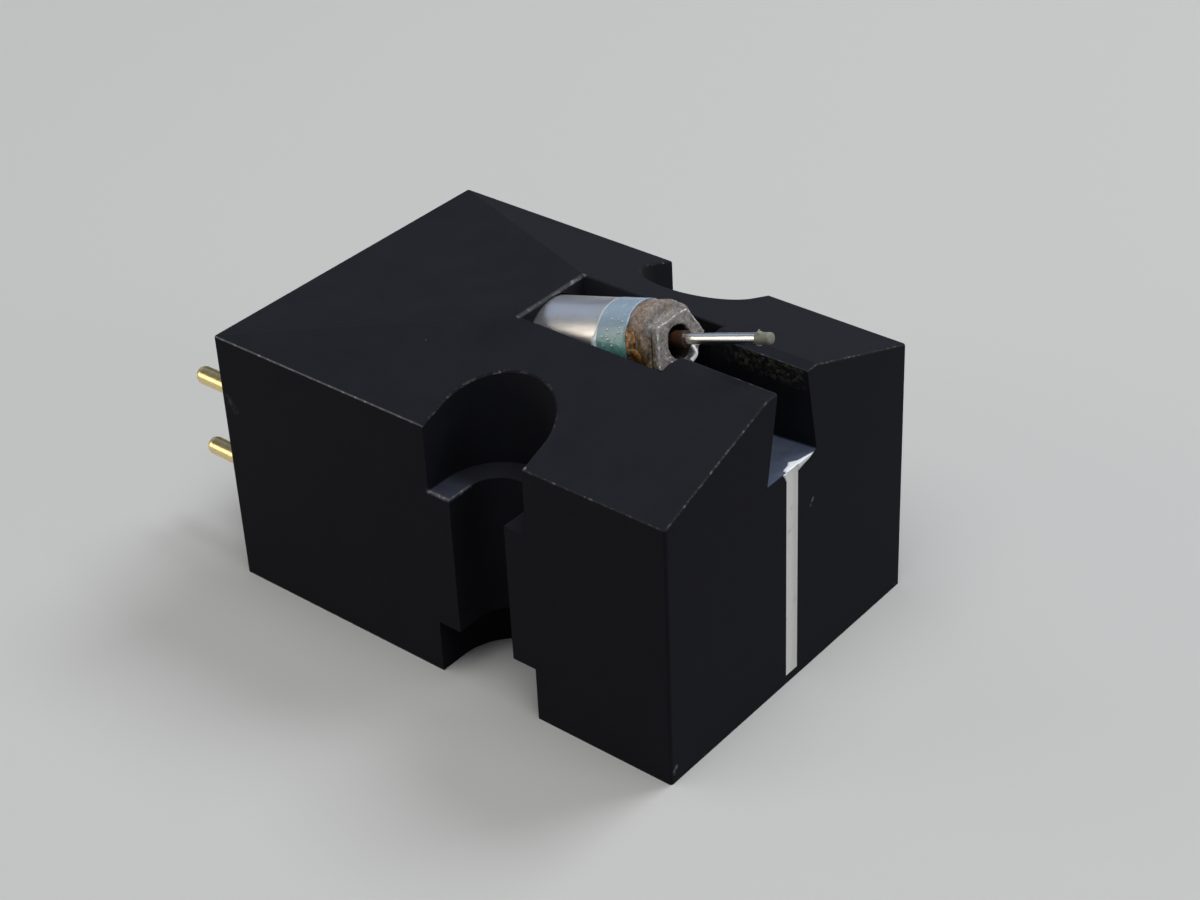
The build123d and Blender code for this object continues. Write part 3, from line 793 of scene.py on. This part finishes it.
def paint_smear():
    """Paint that ran from the top of the index line over the edge of the throat's floor."""
    skin = 0.015
    height = CHANNEL_FLOOR + skin
    face_y = FRONT - skin
    fold = [(x, face_y, height) for x in (-INDEX_HALF_WIDTH, INDEX_HALF_WIDTH, 1.38)]
    floor_outline = [(1.0, -8.79), (0.52, -8.7), (0.21, -8.5), (0.0, -8.62), (-0.33, -8.67)]
    on_floor = [(x, y, height) for x, y in floor_outline]
    on_front = [(1.1, face_y, 9.77), (0.75, face_y, 9.7), (INDEX_HALF_WIDTH, face_y, 9.6)]
    on_left = [fold[0], (-0.6, face_y, height), (-0.47, face_y, 9.68), (-INDEX_HALF_WIDTH, face_y, 9.45)]
    shape = bmesh.new()
    fold_verts = new_verts(shape, fold)
    shape.faces.new(fold_verts + new_verts(shape, on_floor))
    shape.faces.new([fold_verts[2], fold_verts[1]] + new_verts(shape, reversed(on_front)))
    shape.faces.new(new_verts(shape, on_left))
    bmesh.ops.triangulate(shape, faces=shape.faces[:])
    bmesh.ops.subdivide_edges(shape, edges=shape.edges[:], cuts=3, use_grid_fill=True)
    bmesh.ops.solidify(shape, geom=shape.faces[:], thickness=skin)
    white = plain("smear_white", (0.93, 0.94, 0.96), (0.85, 0.86, 0.88), roughness=0.3, relief=0.01)
    add_piece("index_smear", shape, part_frame, "housing", white)


def lump(shape, centre, size, seed, turn=0.0, detail=3):
    """A rough lump with half-axes in millimetres, turned about the motor's axis."""
    roughness = 0.3
    grain = 0.14
    place = Matrix.Translation(centre) @ Matrix.Rotation(turn, 4, "Z") @ Matrix.Diagonal((*size, 1))
    made = bmesh.ops.create_icosphere(shape, subdivisions=detail, radius=1, matrix=place)["verts"]
    for vert in made:
        vert.co += roughness * min(size) * noise.noise_vector(vert.co / grain + Vector((seed, 0, 0)))


def ring_glue():
    """Amber glue on the collar's left, against the film."""
    beads = 12
    first_degrees = 146
    degrees_apart = 7
    rise = 0.06
    shape = bmesh.new()
    for bead in range(beads):
        angle = radians(first_degrees + degrees_apart * bead)
        station = RING_BACK + 0.1 + 0.1 * (bead % 3) + 0.02 * bead
        across = 0.16 + 0.08 * (bead % 2)
        centre = (*round_outline(COLLAR_RADIUS)(angle), station)
        lump(shape, centre, (rise, 1.2 * across, across), bead, turn=angle)
    add_piece("ring_glue", shape, motor_frame, "housing", glue)


def film_crumbs():
    """Pale dried glue in crumbs: scattered across the film's left, and a few under the ring's hole."""
    crumbs = 22
    flatness = 0.7
    first_degrees = 128
    degrees_swept = 40
    degrees_strayed = 34
    first_station = RING_BACK - 0.12
    length_swept = 1.05
    length_strayed = 0.4
    on_ring = [(-0.72, -0.42), (-0.7, -0.62), (-0.58, -0.76), (-0.43, -0.84), (-0.62, -0.95)]
    shape = bmesh.new()
    for crumb in range(crumbs):
        share = crumb / (crumbs - 1)
        drift = noise.noise_vector(Vector((1.7 * crumb, 3.3, 1.9)))
        angle = radians(first_degrees + degrees_swept * share + degrees_strayed * drift.x)
        station = first_station - length_swept * share + length_strayed * drift.y
        size = 0.03 + 0.035 * drift.z
        centre = (*round_outline(tube_radius(station) + 0.5 * BAND_WALL)(angle), station)
        lump(shape, centre, (flatness * size, size, size), crumb, turn=angle, detail=2)
    for crumb, (across, up) in enumerate(on_ring):
        size = 0.04 + 0.012 * (crumb % 3)
        lump(shape, (across, up, RING_FRONT), (size, size, flatness * size), crumbs + crumb, detail=2)
    pale = plain("dried_glue", (0.62, 0.68, 0.63), (0.4, 0.46, 0.42), roughness=0.35, relief=0.01)
    add_piece("film_crumbs", shape, motor_frame, "housing", pale)


def tip_glue():
    """Grey glue and lint round the diamond's foot, at the cantilever's end and at its root."""
    around = 48
    sleeve = [
        (STYLUS_STATION - 0.2, 0.0),
        (STYLUS_STATION - 0.2, 0.19),
        (STYLUS_STATION, 0.225),
        (STYLUS_STATION + 0.15, 0.228),
        (STYLUS_STATION + 0.3, 0.226),
        (CANTILEVER_END - 0.1, 0.224),
        (CANTILEVER_END, 0.216),
        (CANTILEVER_END + 0.03, 0.15),
        (CANTILEVER_END + 0.04, 0.0),
    ]
    shape = bmesh.new()
    wrap(shape, [(station, round_outline(radius)) for station, radius in sleeve], around)
    bmesh.ops.remove_doubles(shape, verts=shape.verts, dist=JOIN_DISTANCE)
    roughen(shape, size=0.12, depth=0.014, seed=2.3)
    lump(shape, centre=(0.0, 0.08, STYLUS_STATION + 0.06), size=(0.2, 0.2, 0.2), seed=7)
    lump(shape, centre=(-0.04, 0.19, 0.1), size=(0.13, 0.09, 0.14), seed=4)
    grey = plain("tip_lint", (0.3, 0.29, 0.235), (0.09, 0.087, 0.06), roughness=0.4, relief=0.03)
    add_piece("tip_glue", shape, motor_frame, "moving_coil", grey)


def ring_white_curl():
    """A white curl that runs from under the cantilever over the ring's face, along the lower right of its hole."""
    points = [(0.44, -0.4, -0.1), (0.43, -0.62, 0.06), (0.34, -0.84, 0.12), (0.1, -0.93, 0.03)]
    curl_radius = 0.085
    curve = bpy.data.curves.new("ring_white_curl", "CURVE")
    curve.dimensions = "3D"
    curve.bevel_depth = curl_radius
    curve.bevel_resolution = 3
    curve.use_fill_caps = True
    spline = curve.splines.new("NURBS")
    spline.points.add(len(points) - 1)
    for point, place in zip(spline.points, points):
        point.co = (*place, 1)
    spline.order_u = 3
    spline.use_endpoint_u = True
    maker = bpy.data.objects.new("ring_white_curl_line", curve)
    shape = bmesh.new()
    shape.from_mesh(maker.to_mesh())
    bpy.data.objects.remove(maker)
    white = plain("curl_white", (0.92, 0.92, 0.92), (0.84, 0.84, 0.84), roughness=0.35, relief=0.005)
    add_piece("ring_white_curl", shape, motor_frame, "housing", white)


filed_ring()
film_band()
paint_smear()
ring_glue()
film_crumbs()
tip_glue()
ring_white_curl()


# Stage

def camera():
    """The photograph's viewpoint."""
    level = cos(CAMERA_ELEVATION)
    back = Vector((sin(CAMERA_AZIMUTH) * level, -cos(CAMERA_AZIMUTH) * level, sin(CAMERA_ELEVATION)))
    right = Z_AXIS.cross(back).normalized()
    turn = Matrix((right, back.cross(right), back)).transposed() @ Matrix.Rotation(CAMERA_ROLL, 3, "Z")
    lens = bpy.data.cameras.new("camera")
    lens.lens = CAMERA_LENS
    lens.clip_start = 0.005
    lens.clip_end = 10
    viewer = bpy.data.objects.new("camera", lens)
    viewer.matrix_world = Matrix.Translation(MM * Vector(CAMERA_PLACE)) @ turn.to_4x4()
    bpy.context.scene.collection.objects.link(viewer)
    bpy.context.scene.camera = viewer


def softbox(name, direction, distance, size, watts, colour):
    """A square lamp that looks at the part, in metres and watts."""
    lamp = bpy.data.lights.new(name, "AREA")
    lamp.size = size
    lamp.energy = watts
    lamp.color = colour
    holder = bpy.data.objects.new(name, lamp)
    towards = Vector(direction).normalized()
    holder.location = distance * towards
    holder.rotation_euler = towards.to_track_quat("Z", "Y").to_euler()
    bpy.context.scene.collection.objects.link(holder)


def floor():
    """A plain floor that looks pale, but throws little light back on the part."""
    half_width_in_metres = 3
    thrown_grey = (0.14, 0.138, 0.13)
    seen_pale = (0.5, 0.49, 0.465)
    shape = bmesh.new()
    bmesh.ops.create_grid(shape, x_segments=1, y_segments=1, size=half_width_in_metres)
    mesh = bpy.data.meshes.new("floor")
    shape.to_mesh(mesh)
    shape.free()
    finish = Finish("floor_pale", {"Roughness": 0.9, "Specular IOR Level": 0.2})
    rays = ("Is Camera Ray", "Is Glossy Ray", "Is Transmission Ray")
    seen = 0.0
    for ray in rays:
        seen = finish.largest(seen, finish.node("ShaderNodeLightPath", out=ray))
    colour = finish.blend(seen, thrown_grey, seen_pale)
    mesh.materials.append(finish.feed(base_color=colour))
    ground = bpy.data.objects.new("floor", mesh)
    bpy.context.scene.collection.objects.link(ground)


def surroundings():
    """A dim, bluish room."""
    world = bpy.data.worlds.new("surroundings")
    world.use_nodes = True
    sky = world.node_tree.nodes["Background"]
    sky.inputs["Color"].default_value = (0.7, 0.8, 1.0, 1)
    sky.inputs["Strength"].default_value = 0.13
    bpy.context.scene.world = world


camera()
floor()
surroundings()
softbox("window", (0.54, -0.19, 0.82), distance=0.4, size=0.16, watts=0.85, colour=(0.88, 0.94, 1.0))
softbox("ceiling", (-0.2, -0.1, 1), distance=0.5, size=0.4, watts=1.75, colour=(0.97, 0.98, 1.0))
softbox("front_fill", (0.15, -0.95, 0.3), distance=0.5, size=0.3, watts=0.34, colour=(1.0, 0.99, 0.96))
softbox("rear_window", (0.2, 0.88, 0.42), distance=0.5, size=0.3, watts=0.12, colour=(0.6, 0.75, 1.0))
softbox("room_lamp", (-0.6, 0.78, 0.17), distance=0.45, size=0.26, watts=0.55, colour=(1.0, 0.92, 0.74))
bpy.context.scene.view_settings.view_transform = "Standard"
